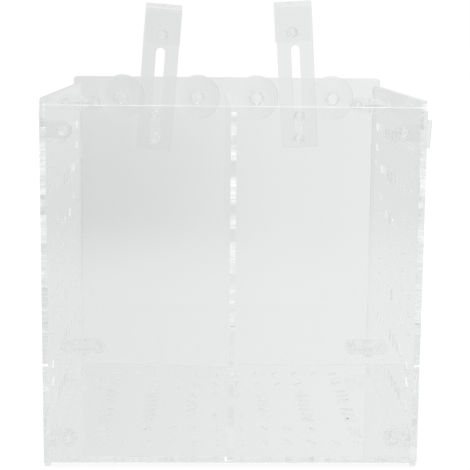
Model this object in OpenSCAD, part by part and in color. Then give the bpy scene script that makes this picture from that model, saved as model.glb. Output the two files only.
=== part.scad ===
// Fish breeding box of clear acrylic sheet, hung inside a tank from its rim.
// Front is -Y, the tank wall is on the +Y side, and the feet stand on z = 0.

/* [Box] */
// Outer width over the two side panels
box_w = 200; // [160:5:260]
// Outer depth over the front and back panels
box_d = 200; // [170:5:260]
// Height of the side panels, feet included
side_h = 197; // [190:1:240]
// Thickness of the acrylic sheet
sheet = 3; // [2.5:0.1:4]
// Height of the floor's underside above the feet
foot_h = 3; // [2:0.5:6]
// How far the front panel's top lies below the side panels' top
front_drop = 3.5; // [2:0.5:8]
// How far the divider's top lies below the side panels' top
divider_drop = 5; // [3:0.5:10]
// How far the back panel rises above the side panels
back_rise = 4.5; // [2:0.5:8]
// How far the back panel reaches past each side panel
back_overhang = 2; // [1.5:0.5:5]
// Corner radius of the panels
corner_r = 2.5; // [1:0.5:4]

/* [Tab joints] */
// Length of a tab along its edge
tab_l = 10; // [6:1:16]
// Distance of the tabs from the middle of an edge
tab_spread = 50; // [40:1:55]
// Clearance round a tab in its slot
tab_gap = 0.1; // [0.05:0.05:0.3]

/* [Water slots] */
// Length of one water slot
slot_l = 8; // [6:0.5:10]
// Width of one water slot
slot_w = 2; // [1.4:0.2:2.6]
// Half the width of the innermost square ring of slots
ring_first = 22; // [20:1:24]
// Distance from one ring to the next
ring_step = 25; // [24:0.5:26]
// Number of rings
rings = 3; // [1:1:3]
// Distance between the slots in a ring's columns
column_pitch = 9.8; // [9.8:0.2:11]

/* [Hangers] */
// Width of a hanger strap
strap_w = 24; // [18:1:28]
// Thickness of a hanger strap
strap_t = 3; // [2.5:0.1:4]
// Length of the strap from its foot to the top of the hook
hanger_h = 97; // [90:1:104]
// Length of the flap that hangs behind the tank's rim
flap_h = 27; // [24:1:30]
// Room for the tank's rim between strap and flap
rim_gap = 16; // [12:1:20]
// Inner radius of the bends
bend_r = 3; // [2:0.5:4]
// Width of the long slot in the strap
strap_slot_w = 6; // [5.6:0.2:7]
// Distance of the slot's lower end from the strap's foot
strap_slot_foot = 3.5; // [3:0.5:6]
// Distance of the slot's upper end from the top of the hook
strap_slot_top = 29; // [28:1:36]
// Place of the hangers beside the middle, as a share of the box's width
hanger_share = 0.2415; // [0.23:0.0005:0.25]
// Lean of the left hanger, its top towards the middle
left_lean = 4.3; // [0:0.1:5]
// Lean of the right hanger, its top towards the middle
right_lean = 3.5; // [0:0.1:5]
// How far the left strap's foot hangs below its lower screw
left_foot_drop = 8.5; // [6:0.5:40]
// How far the right strap's foot hangs below its lower screw
right_foot_drop = 6; // [6:0.5:40]
// Running gap between the strap and the back panel
strap_gap = 0.1; // [0.05:0.05:0.3]
// Height of the clamp screw below the top of the hook
clamp_drop = 20.5; // [18:0.5:22]

/* [Hanger and clamp screws] */
// Diameter of the hanger screws' shanks
screw_d = 4; // [3.4:0.1:4.2]
// Diameter of the hanger screws' heads
head_d = 7.4; // [7:0.2:8]
// Height of the hanger screws' heads
head_h = 2.6; // [2:0.1:3.2]
// Width across flats of the hanger nuts
nut_af = 7; // [6.6:0.1:7.6]
// Height of the hanger nuts
nut_h = 3.2; // [2.6:0.1:4]
// Depth of the upper hanger screw below the back panel's top
screw_drop = 25.5; // [22:0.5:28]
// Distance between the two hanger screws
screw_pitch = 15; // [12:0.5:16]
// Length of the clamp screw under its head
clamp_l = 16; // [14:1:20]
// How far the clamp screw's tip stands in the rim gap
clamp_tip = 6; // [4:0.5:6.5]
// Radial clearance of a screw in its hole or nut
screw_gap = 0.06; // [0.03:0.01:0.1]

/* [Corner screws and brackets] */
// Diameter of the corner screws' shanks
corner_screw_d = 3; // [2.5:0.1:3.2]
// Diameter of the corner screws' heads
corner_head_d = 5.8; // [5.2:0.2:6.6]
// Height of the corner screws' heads
corner_head_h = 2; // [1.6:0.1:2.4]
// Width across flats of the corner nuts
corner_nut_af = 5.5; // [5:0.1:6]
// Height of the corner nuts
corner_nut_h = 2.4; // [2:0.1:3]
// Thickness of the corner brackets
bracket_t = 3; // [2.5:0.1:3.5]
// Height of the corner brackets
bracket_h = 10; // [9:0.5:12]
// Distance of a bracket's screws from the wall beside them
bracket_reach = 10; // [9:0.5:12]
// Depth of the upper back screws below the back panel's top
back_screw_drop = 17.5; // [16:0.5:20]
// Height of the lower back screws above the floor
back_screw_rise = 12.4; // [10:0.2:14]
// Depth of the upper front screws below the front panel's top
front_screw_drop = 13; // [11:0.5:16]
// Height of the lower front screws above the floor
front_screw_rise = 10; // [8:0.5:14]

/* [Front keys] */
// Height of a key's stem
key_h = 9.6; // [8:0.2:10]
// Height of the notch that the stem passes through
key_notch_h = 12.4; // [12:0.2:14]
// Distance of the key's screw from the side panel's inner face
key_reach = 9; // [8:0.5:10]
// Height of the T head on the right key
key_head_h = 14.8; // [13:0.2:16]
// Width of the T head on the right key
key_head_w = 2; // [1.5:0.1:3]
// Turn of the right key about its screw
key_turn = 3.5; // [0:0.5:4]

/* [Suction cups] */
// Diameter of a suction cup
cup_d = 30; // [26:1:32]
// Depth of a cup behind the back panel
cup_depth = 10; // [9:0.5:12]
// Depth of the cups' middle below the back panel's top
cup_drop = 14; // [13.5:0.5:18]
// Place of the inner cups beside the middle, as a share of the box's width
inner_cup_share = 0.099; // [0.096:0.001:0.104]
// Place of the outer cups beside the middle, as a share of the box's width
outer_cup_share = 0.3525; // [0.35:0.0005:0.36]
// Diameter of a cup's neck
neck_d = 6; // [5:0.2:7]
// Diameter of a cup's button inside the box
button_d = 9; // [8:0.2:11]

/* [Hidden] */
$fn = 64;

// Colours of the clear parts
clear_sheet = [0.86, 0.9, 0.92, 0.45];
clear_nylon = [0.9, 0.9, 0.88, 0.7];
clear_rubber = [0.88, 0.9, 0.9, 0.6];

// Inner sizes, and the faces that the pieces share
inner_w = box_w - 2 * sheet;
inner_d = box_d - 2 * sheet;
floor_top = foot_h + sheet;
front_top = side_h - front_drop;
back_top = side_h + back_rise;
divider_top = side_h - divider_drop;
wall_mid = (foot_h + back_top) / 2;
burst_z = side_h / 2;
back_w = box_w + 2 * back_overhang;

// Planes of the hangers, measured from the middle of the box
strap_y = box_d / 2 + strap_gap;
flap_y = strap_y + strap_t + rim_gap;
hanger_mid_z = back_top - screw_drop - screw_pitch / 2;
hanger_x = hanger_share * box_w;
inner_cup_x = inner_cup_share * box_w;
outer_cup_x = outer_cup_share * box_w;

// Screw places
back_screw_x = inner_w / 2 - bracket_reach;
back_screw_zs = [back_top - back_screw_drop, floor_top + back_screw_rise];
front_key_x = inner_w / 2 - key_reach;
front_key_z = front_top - front_screw_drop;
front_low_z = floor_top + front_screw_rise;
side_screw_y = inner_d / 2 - bracket_reach;
thread_end = 1;
key_play = 0.5;
corner_run = sheet + bracket_t + corner_nut_h + thread_end;

// Slots in half a row of the innermost ring; each next ring has that many more
row_slots = 2;
// Every so many places in an outermost column stay whole
whole_every = 4;

// Screw head: its straight skirt as a share of the height, its crown as a share of the width
head_skirt = 0.4;
head_crown = 0.7;
// The driver's cross, as shares of the head's width, and its depth
cross_l = 0.55;
cross_w = 0.14;
cross_depth = 1;

// The clamp screw's head stands this far behind the flap
clamp_back = clamp_l - clamp_tip - strap_t;
front_reach = box_d / 2 + corner_head_h;
back_reach = flap_y + strap_t + clamp_back + head_h;
// The part's origin is under the middle of everything, from screw heads to clamp screws
box_y = (front_reach - back_reach) / 2;

// Cup shape, from the panel outwards
cup_flange_r = neck_d / 2 + 1.8;
cup_wall = 1;
cup_lip = 0.8;
button_t = 3.2;
button_crown_d = 6.4;
cup_gap = 0.1;
bell_root = 0.6;
bell_start = 2.6;
bell_curve = 1.5;
bell_steps = 8;
flange_t = 1.4;

module in_frame() {
    translate([0, box_y, 0]) children();
}

// A sheet seen in the XZ plane, drawn flat and stood up with its front face at y
module stand_x(y, t) {
    translate([0, y + t, 0]) rotate([90, 0, 0]) linear_extrude(t) children();
}

// A sheet seen in the YZ plane, drawn flat and stood up with its left face at x
module stand_y(x, t) {
    translate([x, 0, 0]) rotate([90, 0, 90]) linear_extrude(t) children();
}

module box_2d(low_x, low_y, high_x, high_y) {
    translate([low_x, low_y]) square([high_x - low_x, high_y - low_y]);
}

// A rectangle whose two upper corners are rounded
module panel_2d(low_x, low_y, high_x, high_y, r) {
    box_2d(low_x, low_y, high_x, high_y - r);
    box_2d(low_x + r, high_y - r, high_x - r, high_y);
    translate([low_x + r, high_y - r]) circle(r);
    translate([high_x - r, high_y - r]) circle(r);
}

// A slot with round ends, along the first axis
module round_slot_2d(l, w) {
    square([l - w, w], center = true);
    for (s = [-1, 1]) translate([s * (l - w) / 2, 0]) circle(w / 2);
}

// Places its children at both tab centres along the first axis
module tabs(axis) {
    for (s = [-1, 1]) translate(s * tab_spread * axis) children();
}

// A water slot that points at the middle
module ray_slot_2d(place) {
    translate(place) rotate(atan2(place[1], place[0])) round_slot_2d(slot_l, slot_w);
}

// Square rings of water slots. The rows along the first axis run from corner to corner and keep clear of
// the divider; the columns are closer set, and the outermost ones leave every fourth place whole
module slot_burst_2d() {
    for (ring = [0 : rings - 1], s = [-1, 1]) {
        half = ring_first + ring * ring_step;
        row_end = row_slots * (ring + 1) - 0.5;
        for (i = [-row_end : row_end]) ray_slot_2d([half * i / row_end, s * half]);
        column_end = floor((half - slot_l) / column_pitch);
        for (i = [-column_end : column_end])
            if (ring < rings - 1 || i % whole_every != 0) ray_slot_2d([s * half, i * column_pitch]);
    }
}

// Panels

module front_panel() {
    color(clear_sheet) in_frame() stand_x(-box_d / 2, sheet) difference() {
        panel_2d(-box_w / 2, foot_h, box_w / 2, front_top, corner_r);
        translate([0, wall_mid]) tabs([0, 1]) {
            tab_slot_2d(sheet, tab_l);
            for (s = [-1, 1]) translate([s * (box_w - sheet) / 2, 0]) edge_notch_2d(s, tab_l);
        }
        translate([0, foot_h + sheet / 2]) tabs([1, 0]) foot_notch_2d();
        for (s = [-1, 1]) {
            translate([s * front_key_x, front_key_z]) circle(corner_screw_d / 2 + screw_gap);
            translate([s * back_screw_x, front_low_z]) circle(corner_screw_d / 2 + screw_gap);
        }
    }
}

module back_panel() {
    color(clear_sheet) in_frame() stand_x(box_d / 2 - sheet, sheet) difference() {
        panel_2d(-back_w / 2, foot_h, back_w / 2, back_top, corner_r);
        translate([0, wall_mid]) tabs([0, 1]) {
            tab_slot_2d(sheet, tab_l);
            for (s = [-1, 1]) translate([s * (box_w - sheet) / 2, 0]) tab_slot_2d(sheet, tab_l);
        }
        translate([0, foot_h + sheet / 2]) tabs([1, 0]) foot_notch_2d();
        for (s = [-1, 1]) {
            for (z = back_screw_zs) translate([s * back_screw_x, z]) circle(corner_screw_d / 2 + screw_gap);
            for (k = [0, 1]) translate([s * hanger_x, back_top - screw_drop - k * screw_pitch])
                circle(screw_d / 2 + screw_gap);
            for (x = [inner_cup_x, outer_cup_x]) translate([s * x, back_top - cup_drop])
                circle(neck_d / 2 + cup_gap);
        }
    }
}

// A closed slot for a tab, centred
module tab_slot_2d(w, l) {
    square([w + 2 * tab_gap, l + 2 * tab_gap], center = true);
}

// A notch in an upright edge, open on side s
module edge_notch_2d(s, l) {
    translate([s * sheet / 2, 0]) tab_slot_2d(2 * sheet, l);
}

// A notch in a bottom edge for a tab of the floor
module foot_notch_2d() {
    translate([0, -sheet / 2]) square([tab_l + 2 * tab_gap, 2 * sheet + 2 * tab_gap], center = true);
}

module side_panel(s) {
    x = s < 0 ? -box_w / 2 : box_w / 2 - sheet;
    color(clear_sheet) in_frame() stand_y(x, sheet) difference() {
        union() {
            panel_2d(-inner_d / 2, 0, inner_d / 2, side_h, corner_r);
            translate([0, wall_mid]) tabs([0, 1]) square([box_d, tab_l], center = true);
        }
        translate([0, foot_h + sheet / 2]) tabs([1, 0]) tab_slot_2d(tab_l, sheet);
        translate([0, burst_z]) slot_burst_2d();
        for (z = back_screw_zs) translate([side_screw_y, z]) circle(corner_screw_d / 2 + screw_gap);
        translate([-inner_d / 2, front_key_z])
            square([2 * (bracket_t + tab_gap), key_notch_h], center = true);
    }
}

module floor_panel() {
    color(clear_sheet) in_frame() translate([0, 0, foot_h]) linear_extrude(sheet) difference() {
        union() {
            square([inner_w, inner_d], center = true);
            tabs([1, 0]) square([tab_l, box_d], center = true);
            tabs([0, 1]) square([box_w, tab_l], center = true);
        }
        tabs([0, 1]) tab_slot_2d(sheet, tab_l);
        slot_burst_2d();
    }
}

module divider() {
    color(clear_sheet) in_frame() stand_y(-sheet / 2, sheet) {
        panel_2d(-inner_d / 2, floor_top, inner_d / 2, divider_top, corner_r);
        translate([0, wall_mid]) tabs([0, 1]) square([box_d, tab_l], center = true);
        translate([0, foot_h + sheet / 2]) tabs([1, 0]) square([tab_l, sheet], center = true);
    }
}

// Hangers

// A quarter of a bent strap: a ring sector in the first quadrant
module bend_2d() {
    intersection() {
        difference() {
            circle(bend_r + strap_t);
            circle(bend_r);
        }
        square(bend_r + strap_t);
    }
}

// The hook's side view: first axis backwards, second axis up, with the hook's top at zero
module hook_2d() {
    far = 2 * strap_t + rim_gap;
    turn = bend_r + strap_t;
    box_2d(0, -hanger_h, strap_t, -turn);
    box_2d(far - strap_t, -flap_h, far, -turn);
    box_2d(turn, -strap_t, far - turn, 0);
    translate([turn, -turn]) mirror([1, 0]) bend_2d();
    translate([far - turn, -turn]) bend_2d();
}

// Puts its children in the place of a hanger, which leans about the middle of its screws
module at_hanger(s, lean, foot_drop) {
    pivot_drop = hanger_h - foot_drop - screw_pitch / 2;
    in_frame() translate([s * hanger_x, strap_y, hanger_mid_z]) rotate([0, -s * lean, 0])
        translate([0, 0, pivot_drop]) children();
}

module hanger(s, lean, foot_drop) {
    slot_run = hanger_h - strap_slot_top - strap_slot_foot;
    slot_mid = -strap_slot_top - slot_run / 2;
    color(clear_sheet) at_hanger(s, lean, foot_drop) difference() {
        stand_y(-strap_w / 2, strap_w) hook_2d();
        translate([0, 0, slot_mid]) stand_x(-strap_t, 3 * strap_t)
            rotate(90) round_slot_2d(slot_run, strap_slot_w);
        translate([0, flap_y - strap_y - strap_t, -clamp_drop])
            rotate([-90, 0, 0]) cylinder(h = 3 * strap_t, d = screw_d + 2 * screw_gap);
    }
}

// Fasteners, drawn along +Z with the head's seat at zero

module screw(d, l, wide, tall) {
    skirt = tall * head_skirt;
    difference() {
        union() {
            cylinder(h = l, d = d);
            translate([0, 0, -skirt]) cylinder(h = skirt, d = wide);
            translate([0, 0, -tall]) cylinder(h = tall - skirt, d1 = wide * head_crown, d2 = wide);
        }
        for (a = [0, 90]) translate([0, 0, -tall]) rotate(a)
            cube([wide * cross_l, wide * cross_w, 2 * cross_depth], center = true);
    }
}

module nut(d, af, tall) {
    difference() {
        cylinder(h = tall, d = af / cos(30), $fn = 6);
        translate([0, 0, -tall]) cylinder(h = 3 * tall, d = d + 2 * screw_gap);
    }
}

// Turns a fastener so that it runs along +Y, -Y, +X or -X
module run(x, y) {
    rotate([0, 90, atan2(y, x)]) children();
}

module hanger_screws(s) {
    run_l = sheet + strap_gap + strap_t + strap_gap + nut_h + thread_end;
    color(clear_nylon) in_frame() for (k = [0, 1])
        translate([s * hanger_x, box_d / 2 - sheet, back_top - screw_drop - k * screw_pitch])
            run(0, 1) screw(screw_d, run_l, head_d, head_h);
}

module hanger_nuts(s) {
    color(clear_nylon) in_frame() for (k = [0, 1])
        translate([s * hanger_x, strap_y + strap_t + strap_gap, back_top - screw_drop - k * screw_pitch])
            run(0, 1) nut(screw_d, nut_af, nut_h);
}

module clamp_screw(s, lean, foot_drop) {
    color(clear_nylon) at_hanger(s, lean, foot_drop)
        translate([0, flap_y - strap_y + strap_t + clamp_back, -clamp_drop])
            run(0, -1) screw(screw_d, clamp_l, head_d, head_h);
}

module clamp_nut(s, lean, foot_drop) {
    color(clear_nylon) at_hanger(s, lean, foot_drop)
        translate([0, flap_y - strap_y + strap_t, -clamp_drop]) run(0, 1) nut(screw_d, nut_af, nut_h);
}

// Suction cups

// The bell's height over its neck, for a share t of the way out to the lip
function bell_y(t, low, high) = low + (high - low) * pow(t, bell_curve);

// The cup's half section: radius, then distance behind the panel's outer face
module cup_2d() {
    r = cup_d / 2;
    neck = neck_d / 2;
    root_r = neck + bell_root;
    hollow_r = r - cup_lip;
    inner_face = -sheet - cup_gap;
    outside = [for (i = [0 : bell_steps])
        [root_r + (r - root_r) * i / bell_steps, bell_y(i / bell_steps, bell_start, cup_depth - cup_lip)]];
    inside = [for (i = [bell_steps : -1 : 0])
        [hollow_r * i / bell_steps, bell_y(i / bell_steps, bell_start + cup_wall, cup_depth)]];
    polygon(concat([[0, -sheet - button_t], [button_crown_d / 2, -sheet - button_t],
        [button_d / 2, -sheet - button_t / 2], [button_d / 2, inner_face], [neck, inner_face], [neck, 0],
        [cup_flange_r, 0], [cup_flange_r, flange_t], [root_r, flange_t]], outside, [[r, cup_depth]], inside));
}

module cup(x) {
    color(clear_rubber) in_frame() translate([x, box_d / 2, back_top - cup_drop])
        rotate([-90, 0, 0]) rotate_extrude() cup_2d();
}

// Corner brackets

// A flat plate with a round end about a screw hole at zero, reaching to edge on the first axis
module tag_2d(edge, tall, hole) {
    difference() {
        union() {
            box_2d(0, -tall / 2, edge, tall / 2);
            circle(tall / 2);
        }
        if (hole) circle(corner_screw_d / 2 + screw_gap);
    }
}

// An angle bracket in a corner: sx and sy say which corner, z its screw height
module bracket(sx, sy, z, reach_x, side_hole) {
    corner = [sx * inner_w / 2, sy * inner_d / 2, z];
    color(clear_sheet) in_frame() translate(corner) mirror([sx > 0 ? 1 : 0, 0, 0])
        mirror([0, sy > 0 ? 1 : 0, 0]) {
            stand_x(0, bracket_t) translate([reach_x, 0]) mirror([1, 0]) tag_2d(reach_x, bracket_h, true);
            stand_y(0, bracket_t) translate([bracket_reach, 0]) mirror([1, 0])
                tag_2d(bracket_reach, bracket_h, side_hole);
        }
}

// Keys that lock the front panel to the sides, behind the front panel

module key(s, turn, with_head) {
    edge = box_w / 2 - front_key_x;
    shoulder = edge + key_play;
    color(clear_sheet) in_frame() translate([s * front_key_x, 0, front_key_z]) rotate([0, s * turn, 0])
        stand_x(-inner_d / 2, bracket_t) mirror([s > 0 ? 0 : 1, 0]) {
            tag_2d(with_head ? shoulder : edge, key_h, true);
            if (with_head) box_2d(shoulder, -key_head_h / 2, shoulder + key_head_w, key_head_h / 2);
        }
}

// Corner fasteners

module back_corner_screws() {
    color(clear_nylon) in_frame() for (s = [-1, 1], z = back_screw_zs)
        translate([s * back_screw_x, box_d / 2, z]) run(0, -1) corner_screw();
}

module back_corner_nuts() {
    color(clear_nylon) in_frame() for (s = [-1, 1], z = back_screw_zs)
        translate([s * back_screw_x, inner_d / 2 - bracket_t, z]) run(0, -1) corner_nut();
}

module side_corner_screws() {
    color(clear_nylon) in_frame() for (s = [-1, 1], z = back_screw_zs)
        translate([s * box_w / 2, side_screw_y, z]) run(-s, 0) corner_screw();
}

module side_corner_nuts() {
    color(clear_nylon) in_frame() for (s = [-1, 1], z = back_screw_zs)
        translate([s * (inner_w / 2 - bracket_t), side_screw_y, z]) run(-s, 0) corner_nut();
}

module front_corner_screws() {
    color(clear_nylon) in_frame() for (s = [-1, 1]) {
        translate([s * front_key_x, -box_d / 2, front_key_z]) run(0, 1) corner_screw();
        translate([s * back_screw_x, -box_d / 2, front_low_z]) run(0, 1) corner_screw();
    }
}

module front_corner_nuts() {
    color(clear_nylon) in_frame() for (s = [-1, 1]) {
        translate([s * front_key_x, -inner_d / 2 + bracket_t, front_key_z]) run(0, 1) corner_nut();
        translate([s * back_screw_x, -inner_d / 2 + bracket_t, front_low_z]) run(0, 1) corner_nut();
    }
}

module corner_screw() {
    screw(corner_screw_d, corner_run, corner_head_d, corner_head_h);
}

module corner_nut() {
    nut(corner_screw_d, corner_nut_af, corner_nut_h);
}

front_panel();
back_panel();
side_panel(-1);  // left_side_panel
side_panel(1);  // right_side_panel
floor_panel();
divider();
hanger(-1, left_lean, left_foot_drop);  // left_hanger
hanger(1, right_lean, right_foot_drop);  // right_hanger
hanger_screws(-1);  // left_hanger_screws
hanger_screws(1);  // right_hanger_screws
hanger_nuts(-1);  // left_hanger_nuts
hanger_nuts(1);  // right_hanger_nuts
clamp_screw(-1, left_lean, left_foot_drop);  // left_clamp_screw
clamp_screw(1, right_lean, right_foot_drop);  // right_clamp_screw
clamp_nut(-1, left_lean, left_foot_drop);  // left_clamp_nut
clamp_nut(1, right_lean, right_foot_drop);  // right_clamp_nut
cup(-outer_cup_x);  // outer_left_cup
cup(-inner_cup_x);  // inner_left_cup
cup(inner_cup_x);  // inner_right_cup
cup(outer_cup_x);  // outer_right_cup
bracket(-1, 1, back_screw_zs[0], bracket_reach, true);  // back_top_left_bracket
bracket(1, 1, back_screw_zs[0], bracket_reach, true);  // back_top_right_bracket
bracket(-1, 1, back_screw_zs[1], bracket_reach, true);  // back_bottom_left_bracket
bracket(1, 1, back_screw_zs[1], bracket_reach, true);  // back_bottom_right_bracket
bracket(-1, -1, front_low_z, bracket_reach, false);  // front_bottom_left_bracket
bracket(1, -1, front_low_z, bracket_reach, false);  // front_bottom_right_bracket
key(-1, 0, false);  // front_left_key
key(1, key_turn, true);  // front_right_key
back_corner_screws();
back_corner_nuts();
side_corner_screws();
side_corner_nuts();
front_corner_screws();
front_corner_nuts();
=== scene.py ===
"""The looks of a clear acrylic fish breeding box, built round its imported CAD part.

Metres, +Z up, front at -Y.
"""

import math

import bmesh
import bpy
import numpy as np
from mathutils import Matrix, Vector


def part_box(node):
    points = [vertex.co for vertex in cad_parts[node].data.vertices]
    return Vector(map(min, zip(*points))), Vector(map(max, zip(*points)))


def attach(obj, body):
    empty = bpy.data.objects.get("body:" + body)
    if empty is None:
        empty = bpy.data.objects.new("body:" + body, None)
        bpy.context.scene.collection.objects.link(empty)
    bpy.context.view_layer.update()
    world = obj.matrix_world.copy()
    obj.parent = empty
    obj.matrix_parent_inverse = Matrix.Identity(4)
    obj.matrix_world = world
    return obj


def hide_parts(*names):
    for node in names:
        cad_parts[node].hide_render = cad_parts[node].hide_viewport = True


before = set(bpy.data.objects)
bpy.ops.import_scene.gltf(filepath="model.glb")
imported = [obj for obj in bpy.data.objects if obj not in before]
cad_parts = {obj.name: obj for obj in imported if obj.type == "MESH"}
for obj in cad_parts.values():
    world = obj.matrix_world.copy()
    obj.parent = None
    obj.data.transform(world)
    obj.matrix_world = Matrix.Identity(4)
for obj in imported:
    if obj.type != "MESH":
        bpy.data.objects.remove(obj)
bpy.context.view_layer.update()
MM = 0.001

# Camera: a long lens a little above the box's top
CAMERA_AT = Vector((-0.01536, -0.77009, 0.23124))
CAMERA_DOWN = math.radians(9.058)
CAMERA_RIGHT = math.radians(1.4365)
CAMERA_ROLL = math.radians(0.544)
LENS_MM = 97.54
SENSOR_MM = 36
CLIP_START = 0.01

# The studio as clear pieces show it, in linear light where 1 is white. A pale table runs back into
# a backdrop. Each has a shade for its left and its right, and the backdrop's left another high up
TABLE_SHADES = (0.82, 0.875)
BACKDROP_SHADES = (0.71, 0.87)
HIGH_SHADE = 0.76
# Distances from the box's middle: where table turns into backdrop, and where that gets high
TABLE_ENDS = (0.36, 0.9)
BACKDROP_ENDS = (0.9, 3.2)
# Left and right meet in a soft middle, with this much sideways to each side for each metre ahead.
# On the table it fans out from this far in front of the box
SIDEWAYS = 0.13
MIDDLE_AT = 0.77
# Light that was turned back inside the box meets the backdrop only where it looks behind the box.
# At the sides the room has a shade of its own, and in front it is darker
BRIGHT_SIDE = 0.78
DARK_SIDE = 0.62
AHEAD_STARTS = (0.1, 0.5)
FRONT_STARTS = (0.05, 0.6)
# Straight in front the room is only half dark, between two dark cards
CARD_STARTS = (0.05, 0.09)
BETWEEN_CARDS = 0.5
# A painted black patch on the table stands for a black flag left of the middle and gives a painted
# dark reflection. Only light deep inside the box meets it
PAINTED_FLAG_BLACK = 0.01
FLAG_FROM, FLAG_TO, FLAG_SOFT = -0.24, -0.086, 0.006
# Cards and flag fan out over the table from a point behind the box, since its back mirrors them
MIRROR_X, MIRROR_Y = -0.015, 0.95
# The softbox overhead and the brighter lamp in it, by how steeply a ray goes up
SOFTBOX = 0.95
SOFTBOX_STARTS = (0.8, 0.9)
LAMP = 1.4
LAMP_STARTS = (0.978, 0.986)
# How many faces a ray has gone through when it has crossed one piece, or two give or take a face
ONE_PIECE, TWO_PIECES, GIVE_OR_TAKE = 2.0, 4.0, 1.2

# The table as the camera sees it: mostly its own glow, with a little left for the shadow
TABLE_GLOW, TABLE_LIT = 0.9, 0.14
TABLE_RADIUS, TABLE_DROP = 6, 0.0002
# Area lamps: name, place, size and watts. They light only what isn't clear, and aim at the box
LAMPS = (("overhead_softbox", (0, -0.1, 1.3), (1.8, 1.1), 5.5),
         ("front_softbox", (-0.9, -0.9, 0.9), (0.9, 0.9), 2.2))
LAMPS_AIM = Vector((0, 0, 0.1))

# Light that is still inside a piece after this many turns stops, and an even painted glow stands in
# for it
LAST_TURN = 20
PAINTED_TRAPPED_GLOW = 0.85
DIFFUSE_TURNS = 8

# Refraction, and roughness as (noise from, noise to, roughness from, roughness to)
ACRYLIC_IOR, NYLON_IOR, VINYL_IOR = 1.49, 1.42, 1.46
SMEARED = (0.5, 0.8, 0.0, 0.03)
NYLON_HAZE = (0.3, 0.75, 0.0, 0.06)
VINYL_HAZE = (0.3, 0.75, 0.03, 0.15)
# Painted highlights on cut edges: runs along an edge glow in place of glints. Noise is stretched
# across the sheet, in features for each metre, and fine lines cross the runs. Low down, between
# two heights, they are weaker
ACROSS_SHEET = (0.15, 1, 1)
RUNS, LINES = 90.0, 700.0
LINES_LIT = (0.3, 0.65, 0.15, 1.0)
HEIGHTS_LIT = (0.05, 0.15, 0.3, 1.0)
EVEN_RUN = (0.1, 0.3)
BROKEN_RUN = (0.42, 0.55)

# Air between pieces that touch in the CAD part, so that light leaves one before it enters the next.
# A corner moves by so many times this at most
AIR = 0.03 * MM
MOST_MOVES = 3
# What counts as one point, as no edge, as no face, as the same direction, as one flat face and, in
# the shading, as a sharp edge
SAME_POINT, NO_EDGE, NO_FACE = 0.001 * MM, 0.0005 * MM, 1e-12
SAME_WAY = 0.9999
FLAT = math.radians(0.3)
SHARP = math.radians(28)
# Edges sharper than this are rounded. On the flat sheets that is only so for the long ones
ROUND_FROM = math.radians(40)
LONG_EDGE = 9 * MM
SHEET_ROUND, NUT_ROUND = 0.3 * MM, 0.22 * MM
# A face looks along an axis if its normal has this much of it. On a bent sheet, a face whose normal
# has more than the second share of the bend's axis is a cut edge
LOOKS_ALONG, CUT_FROM = 0.9, 0.3
# How deep a sheet's outermost edge may lie behind its tabs
TAB_DEPTH = 4 * MM

# Screws: radius and length of the shank, and pitch
HANGER_SHANK = (2.0 * MM, 10.4 * MM)
CLAMP_SHANK = (2.0 * MM, 16.0 * MM)
CORNER_SHANK = (1.5 * MM, 9.4 * MM)
COARSE, FINE = 0.8 * MM, 0.55 * MM
SCREW_SIDES, TURN_STEPS = 40, 10
# A pan head from the middle of its top to its seat, in shares of its radius and height
PAN_HEAD = ((0.05, -1.0), (0.42, -1.0), (0.62, -0.93), (0.80, -0.80), (0.93, -0.62), (1.0, -0.42),
            (1.0, -0.06), (0.97, 0.0))
UNDER_HEAD = 0.96
# The thread's depth and where it fades at the tip and the head, in pitches, then its flanks' shape
THREAD_DEPTH, TIP_FADE, HEAD_FADE = 0.42, 0.8, 0.6
FLANK, CREST, FADED = 1.35, 0.2, 0.8
# The cross recess, in shares of the head's radius and height
CROSS_LONG, CROSS_THICK, CROSS_DEEP, CROSS_TAPER = 1.1, 0.28, 0.62, 0.7

# Suction cups
NECK_R, BUTTON_R, FLANGE_R = 2.95 * MM, 4.5 * MM, 4.8 * MM
BELL_START, BELL_WALL, BELL_RIM = 2.6 * MM, 1.0 * MM, 0.8 * MM
BELL_CURVE, BELL_STEPS, CUP_SIDES = 1.5, 30, 64
BEAD, BEADS, BEADS_FROM, BEADS_TO = 0.03 * MM, 5, 0.25, 0.9


# Node helpers

def new_material(name):
    mat = bpy.data.materials.new(name)
    mat.use_nodes = True
    mat.node_tree.nodes.clear()
    mat.cycles.emission_sampling = "NONE"
    return mat, mat.node_tree


def add(nt, kind, inputs=None, **settings):
    node = nt.nodes.new(kind)
    for key, value in settings.items():
        setattr(node, key, value)
    for key, value in (inputs or {}).items():
        if isinstance(value, bpy.types.NodeSocket):
            nt.links.new(value, node.inputs[key])
        else:
            node.inputs[key].default_value = value
    return node


def maths(nt, operation, a, b=0.0, c=0.0):
    return add(nt, "ShaderNodeMath", {0: a, 1: b, 2: c}, operation=operation).outputs[0]


def multiply(nt, first, *others):
    for other in others:
        first = maths(nt, "MULTIPLY", first, other)
    return first


def mix(nt, factor, a, b):
    inputs = {"Factor": factor, "A": a, "B": b}
    return add(nt, "ShaderNodeMix", inputs, data_type="FLOAT").outputs[0]


def ramp(nt, value, low, high, to_low=0.0, to_high=1.0, kind="SMOOTHSTEP"):
    inputs = {"Value": value, "From Min": low, "From Max": high,
              "To Min": to_low, "To Max": to_high}
    return add(nt, "ShaderNodeMapRange", inputs, interpolation_type=kind).outputs["Result"]


def grey(nt, value):
    return add(nt, "ShaderNodeCombineColor", {0: value, 1: value, 2: value}).outputs[0]


def place_on(nt):
    return add(nt, "ShaderNodeTexCoord").outputs["Object"]


def axes_of(nt, vector):
    return add(nt, "ShaderNodeSeparateXYZ", {0: vector}).outputs


def noise(nt, place, per_metre, detail):
    inputs = {"Vector": place, "Scale": per_metre, "Detail": detail}
    return add(nt, "ShaderNodeTexNoise", inputs).outputs["Fac"]


def bump(nt, height, strength, depth):
    inputs = {"Height": height, "Strength": strength, "Distance": depth}
    return add(nt, "ShaderNodeBump", inputs).outputs[0]


# Materials

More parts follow.
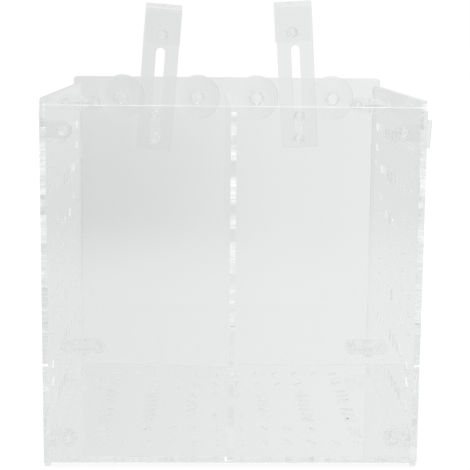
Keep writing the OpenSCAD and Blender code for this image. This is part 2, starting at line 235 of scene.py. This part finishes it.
def end_clear(nt, tint, roughness, normal, ior, painted_highlight=None):
    """Ends a material in a clear shader, with a painted glow where light is trapped and painted
    highlights where given.
    """
    # Painted glow: emission where a path has run out of turns
    turns = add(nt, "ShaderNodeLightPath").outputs["Ray Depth"]
    glow = multiply(nt, maths(nt, "GREATER_THAN", turns, LAST_TURN + 0.5), PAINTED_TRAPPED_GLOW)
    # Painted highlights on cut edges add to the painted glow
    if painted_highlight is not None:
        glow = maths(nt, "ADD", glow, painted_highlight)
    inputs = {"Base Color": (*tint, 1), "Roughness": roughness, "IOR": ior,
              "Transmission Weight": 1.0, "Normal": normal,
              "Emission Color": (1, 1, 1, 1), "Emission Strength": glow}
    shader = add(nt, "ShaderNodeBsdfPrincipled", inputs).outputs[0]
    add(nt, "ShaderNodeOutputMaterial", {"Surface": shader})


def sheet_material():
    """Polished cast sheet: nearly colourless, a little wavy, with a few faint smears."""
    mat, nt = new_material("acrylic_polished")
    place = place_on(nt)
    waves = bump(nt, noise(nt, place, 28.0, 1.0), 0.008, 1.0 * MM)
    roughness = ramp(nt, noise(nt, place, 45.0, 5.0), *SMEARED)
    end_clear(nt, (0.975, 0.98, 0.98), roughness, waves, ACRYLIC_IOR)
    return mat


def edge_material(name, run=None, glow=0.0):
    """Laser-cut edge with fine ripples. With a run, stretches of it glow with a painted highlight.
    """
    mat, nt = new_material(name)
    place = place_on(nt)
    ripples = bump(nt, noise(nt, place, 900.0, 3.0), 0.015, 0.3 * MM)
    roughness = ramp(nt, noise(nt, place, 220.0, 4.0), *SMEARED)
    # Painted highlight: emission in runs along the edge, crossed by fine lines, weaker low down
    painted_highlight = None
    if run:
        inputs = {0: place, 1: ACROSS_SHEET}
        across = add(nt, "ShaderNodeVectorMath", inputs, operation="MULTIPLY").outputs[0]
        lines = ramp(nt, noise(nt, across, LINES, 3.0), *LINES_LIT)
        height = ramp(nt, axes_of(nt, place)["Z"], *HEIGHTS_LIT)
        runs = ramp(nt, noise(nt, across, RUNS, 1.0), *run, 0.0, glow)
        painted_highlight = multiply(nt, lines, height, runs)
    end_clear(nt, (0.98, 0.985, 0.985), roughness, ripples, ACRYLIC_IOR, painted_highlight)
    return mat


def moulded_material(name, tint, haze, per_metre, ior):
    """Clear moulded plastic, a little hazy, with a soft skin."""
    mat, nt = new_material(name)
    skin = noise(nt, place_on(nt), per_metre, 4.0)
    end_clear(nt, tint, ramp(nt, skin, *haze), bump(nt, skin, 0.05, 0.3 * MM), ior)
    return mat


POLISHED = sheet_material()
CUT_EDGE = edge_material("acrylic_cut_edge")
# Painted highlights: glow on the front panel's top edge and on the front edges of divider and sides
TOP_EDGE = edge_material("acrylic_top_edge_painted_highlight", EVEN_RUN, 0.5)
DIVIDER_EDGE = edge_material("acrylic_divider_edge_painted_highlight", BROKEN_RUN, 0.26)
SIDE_EDGE = edge_material("acrylic_side_edge_painted_highlight", BROKEN_RUN, 0.14)
NYLON = moulded_material("clear_nylon", (0.995, 0.995, 0.99), NYLON_HAZE, 400.0, NYLON_IOR)
VINYL = moulded_material("soft_vinyl", (0.99, 0.995, 0.995), VINYL_HAZE, 160.0, VINYL_IOR)


# Meshes

def cad_mesh(node):
    """A CAD node's mesh to work on, with its points merged."""
    bm = bmesh.new()
    bm.from_mesh(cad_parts[node].data)
    bmesh.ops.remove_doubles(bm, verts=bm.verts, dist=SAME_POINT)
    return bm


def shrunk_mesh(node):
    """A copy of a CAD node's mesh with every face moved inwards by the air gap."""
    bm = cad_mesh(node)
    bmesh.ops.dissolve_degenerate(bm, edges=bm.edges, dist=NO_EDGE)
    bm.normal_update()
    moves = {}
    for v in bm.verts:
        normals = []
        for f in v.link_faces:
            if f.calc_area() > NO_FACE and all(f.normal.dot(n) < SAME_WAY for n in normals):
                normals.append(f.normal.copy())
        if normals:
            a = np.array([tuple(n) for n in normals])
            moves[v] = Vector(np.linalg.lstsq(a, np.full(len(a), -AIR), rcond=1e-3)[0])
    for v, move in moves.items():
        if move.length > MOST_MOVES * AIR:
            move = move.normalized() * MOST_MOVES * AIR
        v.co += move
    bmesh.ops.dissolve_limit(bm, angle_limit=FLAT, verts=bm.verts, edges=bm.edges)
    bm.normal_update()
    return bm


def islands(node):
    """The lowest and highest corner of each separate solid in a CAD node."""
    bm = cad_mesh(node)
    left, found = set(bm.verts), []
    while left:
        group, grow = set(), [left.pop()]
        while grow:
            v = grow.pop()
            group.add(v)
            near = {e.other_vert(v) for e in v.link_edges} & left
            left -= near
            grow.extend(near)
        low = Vector([min(v.co[i] for v in group) for i in range(3)])
        high = Vector([max(v.co[i] for v in group) for i in range(3)])
        found.append((low, high))
    bm.free()
    return sorted(found, key=lambda box: tuple(box[0]))


def finish_mesh(name, bm, materials, body, nodes):
    """Turns the mesh into a piece that rides on a body and stands for CAD nodes."""
    mesh = bpy.data.meshes.new(name)
    bm.to_mesh(mesh)
    bm.free()
    for mat in materials:
        mesh.materials.append(mat)
    mesh.shade_smooth()
    mesh.set_sharp_from_angle(angle=SHARP)
    obj = bpy.data.objects.new(name, mesh)
    bpy.context.scene.collection.objects.link(obj)
    even = obj.modifiers.new("even_normals", "WEIGHTED_NORMAL")
    even.keep_sharp = True
    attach(obj, body)
    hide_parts(*nodes)
    return obj


def round_edges(obj, width, limit="ANGLE"):
    bevel = obj.modifiers.new("rounded", "BEVEL")
    bevel.width = width
    bevel.segments = 2
    bevel.limit_method = limit
    bevel.angle_limit = ROUND_FROM
    obj.modifiers.move(len(obj.modifiers) - 1, 0)


# Sheets

def panel(node, axis, edge_axis=None, edge_sign=1, edge=None):
    """A flat sheet of the box, which is thin along axis. Its long edges are scraped round and its
    slots stay sharp. The edge that looks the given way may have a material of its own."""
    bm = shrunk_mesh(node)
    weight = bm.edges.layers.float.new("bevel_weight_edge")
    for e in bm.edges:
        if e.calc_length() > LONG_EDGE and e.is_manifold and e.calc_face_angle() > ROUND_FROM:
            e[weight] = 1
    materials = [POLISHED, CUT_EDGE]
    for f in bm.faces:
        f.material_index = 1 if abs(f.normal[axis]) < LOOKS_ALONG else 0
    if edge:
        materials.append(edge)
        reach = max(edge_sign * v.co[edge_axis] for v in bm.verts) - TAB_DEPTH
        for f in bm.faces:
            looks = edge_sign * f.normal[edge_axis] > LOOKS_ALONG
            if looks and edge_sign * f.calc_center_median()[edge_axis] > reach:
                f.material_index = 2
    obj = finish_mesh(node + "_sheet", bm, materials, "box", (node,))
    round_edges(obj, SHEET_ROUND, "WEIGHT")


def small_sheet(node, body, is_cut):
    """A bent or small sheet: laser-cut where is_cut says so of a face's normal, else polished."""
    bm = shrunk_mesh(node)
    for f in bm.faces:
        f.material_index = 1 if is_cut(f.normal) else 0
    obj = finish_mesh(node + "_sheet", bm, (POLISHED, CUT_EDGE), body, (node,))
    round_edges(obj, SHEET_ROUND)


# Round pieces

def ring(radius, height, count):
    """Points round +Z. radius is a number, or a function of the angle."""
    angles = [2 * math.pi * i / count for i in range(count)]
    sizes = [radius(a) if callable(radius) else radius for a in angles]
    return [Vector((r * math.cos(a), r * math.sin(a), height)) for r, a in zip(sizes, angles)]


def add_rings(bm, rings):
    """A closed surface through rings of points. Its ends are shut with flat faces."""
    rows = [[bm.verts.new(p) for p in points] for points in rings]
    for low, high in zip(rows, rows[1:]):
        n = len(low)
        for i in range(n):
            bm.faces.new((low[i], low[(i + 1) % n], high[(i + 1) % n], high[i]))
    bm.faces.new(list(reversed(rows[0])))
    bm.faces.new(rows[-1])


def along(axis, sign):
    """A turn that takes +Z to an axis of the box."""
    way = Vector([sign if i == axis else 0 for i in range(3)])
    return way.to_track_quat("Z", "Y").to_matrix().to_4x4()


def screw_mesh(shank_r, length, head_r, head_h, pitch):
    """A threaded screw with a pan head. The head's seat is at zero and the shank runs along +Z."""
    bm = bmesh.new()
    rings = [ring(head_r * r, head_h * z, SCREW_SIDES) for r, z in PAN_HEAD]
    rings.append(ring(shank_r * UNDER_HEAD, 0, SCREW_SIDES))
    depth = pitch * THREAD_DEPTH
    steps = int(length / pitch * TURN_STEPS)
    for k in range(1, steps + 1):
        z = length * k / steps
        full = min(1, (length - z) / (pitch * TIP_FADE)) * min(1, z / (pitch * HEAD_FADE))

        def thread(angle, z=z, full=full):
            phase = (z / pitch - angle / (2 * math.pi)) % 1
            cut = min(1, max(0, abs(2 * phase - 1) * FLANK - CREST))
            return shank_r - depth * (cut * full + (1 - full) * FADED)
        rings.append(ring(thread, z, SCREW_SIDES))
    add_rings(bm, rings)
    mesh = bpy.data.meshes.new("screw")
    bm.to_mesh(mesh)
    bm.free()
    return cut_cross(mesh, head_r, head_h)


def cut_cross(mesh, head_r, head_h):
    """Takes a cross recess out of a screw's head."""
    bm = bmesh.new()
    wide, narrow, deep = head_r * CROSS_LONG, head_r * CROSS_THICK, head_h * CROSS_DEEP
    for size in ((wide, narrow, deep * 2), (narrow, wide, deep * 2)):
        made = bmesh.ops.create_cube(bm, size=1)
        for v in made["verts"]:
            v.co = Vector((v.co.x * size[0], v.co.y * size[1], v.co.z * size[2] - head_h))
            if v.co.z > -head_h:
                v.co.x *= CROSS_TAPER
                v.co.y *= CROSS_TAPER
    cutter_mesh = bpy.data.meshes.new("cross")
    bm.to_mesh(cutter_mesh)
    bm.free()
    screw = bpy.data.objects.new("screw", mesh)
    cutter = bpy.data.objects.new("cross", cutter_mesh)
    for obj in (screw, cutter):
        bpy.context.scene.collection.objects.link(obj)
    cut = screw.modifiers.new("cut", "BOOLEAN")
    cut.operation, cut.object, cut.use_self = "DIFFERENCE", cutter, True
    graph = bpy.context.evaluated_depsgraph_get()
    done = bpy.data.meshes.new_from_object(screw.evaluated_get(graph))
    for obj in (screw, cutter):
        bpy.data.objects.remove(obj)
    return done


SCREWS = {}


def screws(node, body, axis, sign_of, shank, pitch):
    """Threaded screws in the places of a CAD node's plain ones. sign_of says which way each one
    points."""
    bm = bmesh.new()
    radius, length = shank
    for low, high in islands(node):
        mid, size = (low + high) / 2, high - low
        sign = sign_of(mid)
        head_r = size[(axis + 1) % 3] / 2 - AIR
        head_h = size[axis] - length
        if shank not in SCREWS:
            SCREWS[shank] = screw_mesh(radius - AIR, length - AIR, head_r, head_h - 2 * AIR, pitch)
        seat = mid.copy()
        seat[axis] += sign * (head_h - size[axis] / 2 - AIR)
        part = SCREWS[shank].copy()
        part.transform(Matrix.Translation(seat) @ along(axis, sign))
        bm.from_mesh(part)
        bpy.data.meshes.remove(part)
    finish_mesh(node + "_threaded", bm, (NYLON,), body, (node,))


def nuts(node, body):
    bm = shrunk_mesh(node)
    obj = finish_mesh(node + "_hex", bm, (NYLON,), body, (node,))
    round_edges(obj, NUT_ROUND)


def cup(node):
    """A soft suction cup: button and neck through the panel, flange, ribbed bell and thin lip."""
    low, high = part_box(node)
    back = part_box("back_panel")
    r = (high.x - low.x) / 2
    centre = Vector(((low.x + high.x) / 2, 0, (low.z + high.z) / 2))
    face = back[1].y + AIR
    inside = back[0].y - AIR
    end, lip = low.y, high.y
    outer, hollow = [], []
    for i in range(BELL_STEPS + 1):
        t = i / BELL_STEPS
        curve = t ** BELL_CURVE
        bead = BEAD * math.sin(t * 2 * math.pi * BEADS) if BEADS_FROM < t < BEADS_TO else 0
        rise = BELL_START + (lip - face - BELL_RIM - BELL_START) * curve
        outer.append((NECK_R + 0.65 * MM + (r - NECK_R - 0.75 * MM) * t, face + rise + bead))
        rise = BELL_START + BELL_WALL + (lip - face - BELL_START - BELL_WALL) * curve
        hollow.append(((r - 0.9 * MM) * t + 0.01 * MM, face + rise - 0.05 * MM))
    button = [(0.05 * MM, end + 0.02 * MM), (BUTTON_R * 0.55, end + 0.06 * MM),
              (BUTTON_R * 0.85, end + 0.5 * MM), (BUTTON_R, end + 1.3 * MM),
              (BUTTON_R * 0.99, inside - 0.5 * MM), (BUTTON_R * 0.93, inside - 0.15 * MM)]
    neck = [(NECK_R + 0.4 * MM, inside - 0.05 * MM), (NECK_R, inside + 0.35 * MM),
            (NECK_R, face - 0.35 * MM), (NECK_R + 0.3 * MM, face)]
    flange = [(FLANGE_R - 0.3 * MM, face), (FLANGE_R, face + 0.3 * MM),
              (FLANGE_R, face + 1.1 * MM), (FLANGE_R - 0.3 * MM, face + 1.4 * MM),
              (NECK_R + 0.75 * MM, face + 1.7 * MM)]
    thin_lip = [(r - 0.03 * MM, lip - 0.45 * MM), (r - 0.12 * MM, lip - 0.1 * MM),
                (r - 0.5 * MM, lip - 0.01 * MM)]
    profile = button + neck + flange + outer + thin_lip + hollow[::-1]
    bm = bmesh.new()
    add_rings(bm, [ring(radius, height, CUP_SIDES) for radius, height in profile])
    bmesh.ops.recalc_face_normals(bm, faces=bm.faces)
    turn = Matrix.Translation(centre) @ along(1, 1)
    bmesh.ops.transform(bm, verts=bm.verts, matrix=turn)
    finish_mesh(node + "_soft", bm, (VINYL,), "box", (node,))


# The box, with X, Y and Z as axes 0, 1 and 2

panel("front_panel", 1, 2, 1, TOP_EDGE)
panel("back_panel", 1)
panel("left_side_panel", 0, 1, -1, SIDE_EDGE)
panel("right_side_panel", 0, 1, -1, SIDE_EDGE)
panel("divider", 0, 1, -1, DIVIDER_EDGE)
panel("floor_panel", 2)
for side in ("left", "right"):
    small_sheet(side + "_hanger", side + "_hook", lambda n: abs(n.x) > CUT_FROM)
    small_sheet("front_" + side + "_key", "box", lambda n: abs(n.y) < LOOKS_ALONG)
    for place in ("back_top", "back_bottom", "front_bottom"):
        small_sheet(f"{place}_{side}_bracket", "box", lambda n: abs(n.z) > CUT_FROM)
    screws(side + "_hanger_screws", "box", 1, lambda at: 1, HANGER_SHANK, COARSE)
    screws(side + "_clamp_screw", side + "_clamp", 1, lambda at: -1, CLAMP_SHANK, COARSE)
    nuts(side + "_hanger_nuts", "box")
    nuts(side + "_clamp_nut", side + "_hook")
    for place in ("outer", "inner"):
        cup(f"{place}_{side}_cup")
screws("back_corner_screws", "box", 1, lambda at: -1, CORNER_SHANK, FINE)
screws("front_corner_screws", "box", 1, lambda at: 1, CORNER_SHANK, FINE)
screws("side_corner_screws", "box", 0, lambda at: -1 if at.x > 0 else 1, CORNER_SHANK, FINE)
for place in ("back", "front", "side"):
    nuts(place + "_corner_nuts", "box")


# Studio

def backdrop_shade(nt, across, far):
    """The shade of table and backdrop, by the place across and the distance from the box."""
    near = ramp(nt, across, -SIDEWAYS, SIDEWAYS, *TABLE_SHADES)
    left = ramp(nt, far, *BACKDROP_ENDS, BACKDROP_SHADES[0], HIGH_SHADE)
    back = ramp(nt, across, -SIDEWAYS, SIDEWAYS, left, BACKDROP_SHADES[1])
    return mix(nt, ramp(nt, far, *TABLE_ENDS), near, back)


def in_front(nt, ahead):
    return ramp(nt, multiply(nt, ahead, -1.0), *FRONT_STARTS)


def room(nt, across, ahead, lit):
    """The room's shade that way: lit, but dark in front, and half dark there between the cards."""
    cards = ramp(nt, maths(nt, "ABSOLUTE", across), *CARD_STARTS, BETWEEN_CARDS, 1.0)
    return mix(nt, multiply(nt, in_front(nt, ahead), cards), lit, DARK_SIDE)


def with_painted_flag(nt, path, across, ahead, shade):
    """That shade with the flag's painted black patch, which light that crossed about two pieces
    meets.
    """
    left_of = ramp(nt, across, FLAG_TO - FLAG_SOFT, FLAG_TO, 1.0, 0.0)
    right_of = ramp(nt, across, FLAG_FROM - FLAG_SOFT, FLAG_FROM)
    inside = maths(nt, "COMPARE", path["Transmission Depth"], TWO_PIECES, GIVE_OR_TAKE)
    # The flag is painted shade: a black patch in the table's colour
    flag = multiply(nt, left_of, right_of, in_front(nt, ahead), inside)
    return mix(nt, flag, shade, PAINTED_FLAG_BLACK)


def turned_share(nt, path):
    """How much of the room a ray shows: none if it went straight through, half at a reflection in
    the first piece, and all of it deeper inside."""
    turned = maths(nt, "GREATER_THAN", path["Glossy Depth"], 0.5)
    crossed = path["Transmission Depth"]
    return multiply(nt, turned, ramp(nt, crossed, ONE_PIECE, ONE_PIECE + 1, 0.5, 1.0, "LINEAR"))


def make_floor():
    """A pale table. The camera sees it white but for the box's faint shadow; clear pieces see its
    own shade."""
    bpy.ops.mesh.primitive_circle_add(vertices=96, radius=TABLE_RADIUS, fill_type="NGON",
                                      location=(0, 0, -TABLE_DROP))
    floor = bpy.context.object
    floor.name = "floor"
    mat, nt = new_material("table")
    path = add(nt, "ShaderNodeLightPath").outputs
    place = place_on(nt)
    axes = axes_of(nt, place)
    far = add(nt, "ShaderNodeVectorMath", {0: place}, operation="LENGTH").outputs["Value"]
    behind = maths(nt, "MAXIMUM", axes["Y"], 0.0)
    spread = maths(nt, "DIVIDE", axes["X"], maths(nt, "ADD", behind, MIDDLE_AT))
    shade = backdrop_shade(nt, spread, far)
    off_middle = maths(nt, "SUBTRACT", axes["X"], MIRROR_X)
    depth = maths(nt, "ADD", maths(nt, "ABSOLUTE", axes["Y"]), MIRROR_Y)
    across = maths(nt, "DIVIDE", off_middle, depth)
    turned = with_painted_flag(nt, path, across, axes["Y"], room(nt, across, axes["Y"], shade))
    shade = mix(nt, turned_share(nt, path), shade, turned)
    seen = add(nt, "ShaderNodeEmission", {"Color": grey(nt, shade)}).outputs[0]
    lit = add(nt, "ShaderNodeBsdfDiffuse", {"Color": (*[TABLE_LIT] * 3, 1)}).outputs[0]
    glow = add(nt, "ShaderNodeEmission", {"Color": (*[TABLE_GLOW] * 3, 1)}).outputs[0]
    white = add(nt, "ShaderNodeAddShader", {0: glow, 1: lit}).outputs[0]
    inputs = {0: path["Is Camera Ray"], 1: seen, 2: white}
    surface = add(nt, "ShaderNodeMixShader", inputs).outputs[0]
    add(nt, "ShaderNodeOutputMaterial", {"Surface": surface})
    floor.data.materials.append(mat)


def make_world():
    """White to the camera. Glass and gloss see the backdrop, and light that was turned back inside
    a piece also sees the room and the softbox."""
    world = bpy.data.worlds.new("studio")
    world.use_nodes = True
    nt = world.node_tree
    nt.nodes.clear()
    path = add(nt, "ShaderNodeLightPath").outputs
    axes = axes_of(nt, add(nt, "ShaderNodeTexCoord").outputs["Generated"])
    shade = ramp(nt, axes["X"], -SIDEWAYS, SIDEWAYS, HIGH_SHADE, BACKDROP_SHADES[1])
    lit = mix(nt, ramp(nt, axes["Y"], *AHEAD_STARTS), BRIGHT_SIDE, shade)
    around = room(nt, axes["X"], axes["Y"], lit)
    above = mix(nt, ramp(nt, axes["Z"], *LAMP_STARTS), SOFTBOX, LAMP)
    turned = mix(nt, ramp(nt, axes["Z"], *SOFTBOX_STARTS), around, above)
    through = mix(nt, turned_share(nt, path), shade, turned)
    clear = maths(nt, "MAXIMUM", path["Is Transmission Ray"], path["Is Glossy Ray"])
    colour = grey(nt, mix(nt, clear, 1.0, through))
    shown = add(nt, "ShaderNodeBackground", {"Color": colour}).outputs[0]
    add(nt, "ShaderNodeOutputWorld", {"Surface": shown})
    bpy.context.scene.world = world


def make_lamp(name, at, size, watts):
    data = bpy.data.lights.new(name, "AREA")
    data.shape = "RECTANGLE"
    data.size, data.size_y = size
    data.energy = watts
    lamp = bpy.data.objects.new(name, data)
    lamp.location = at
    lamp.rotation_mode = "QUATERNION"
    lamp.rotation_quaternion = (LAMPS_AIM - Vector(at)).to_track_quat("-Z", "Y")
    lamp.visible_camera = lamp.visible_glossy = lamp.visible_transmission = False
    bpy.context.scene.collection.objects.link(lamp)


def make_camera():
    data = bpy.data.cameras.new("camera")
    data.lens = LENS_MM
    data.sensor_width = SENSOR_MM
    data.clip_start = CLIP_START
    cam = bpy.data.objects.new("camera", data)
    bpy.context.scene.collection.objects.link(cam)
    level = math.cos(CAMERA_DOWN)
    forward = Vector((math.sin(CAMERA_RIGHT) * level, math.cos(CAMERA_RIGHT) * level,
                      -math.sin(CAMERA_DOWN)))
    right = Vector((math.cos(CAMERA_RIGHT), -math.sin(CAMERA_RIGHT), 0))
    up = right.cross(forward)
    turned_right = math.cos(CAMERA_ROLL) * right + math.sin(CAMERA_ROLL) * up
    turned_up = -math.sin(CAMERA_ROLL) * right + math.cos(CAMERA_ROLL) * up
    cam.matrix_world = Matrix((turned_right, turned_up, -forward)).transposed().to_4x4()
    cam.location = CAMERA_AT
    bpy.context.scene.camera = cam


make_floor()
make_world()
for lamp in LAMPS:
    make_lamp(*lamp)
make_camera()
scene = bpy.context.scene
scene.view_settings.view_transform = "Standard"
scene.cycles.max_bounces = LAST_TURN
scene.cycles.transmission_bounces = LAST_TURN
scene.cycles.glossy_bounces = LAST_TURN
scene.cycles.diffuse_bounces = DIFFUSE_TURNS
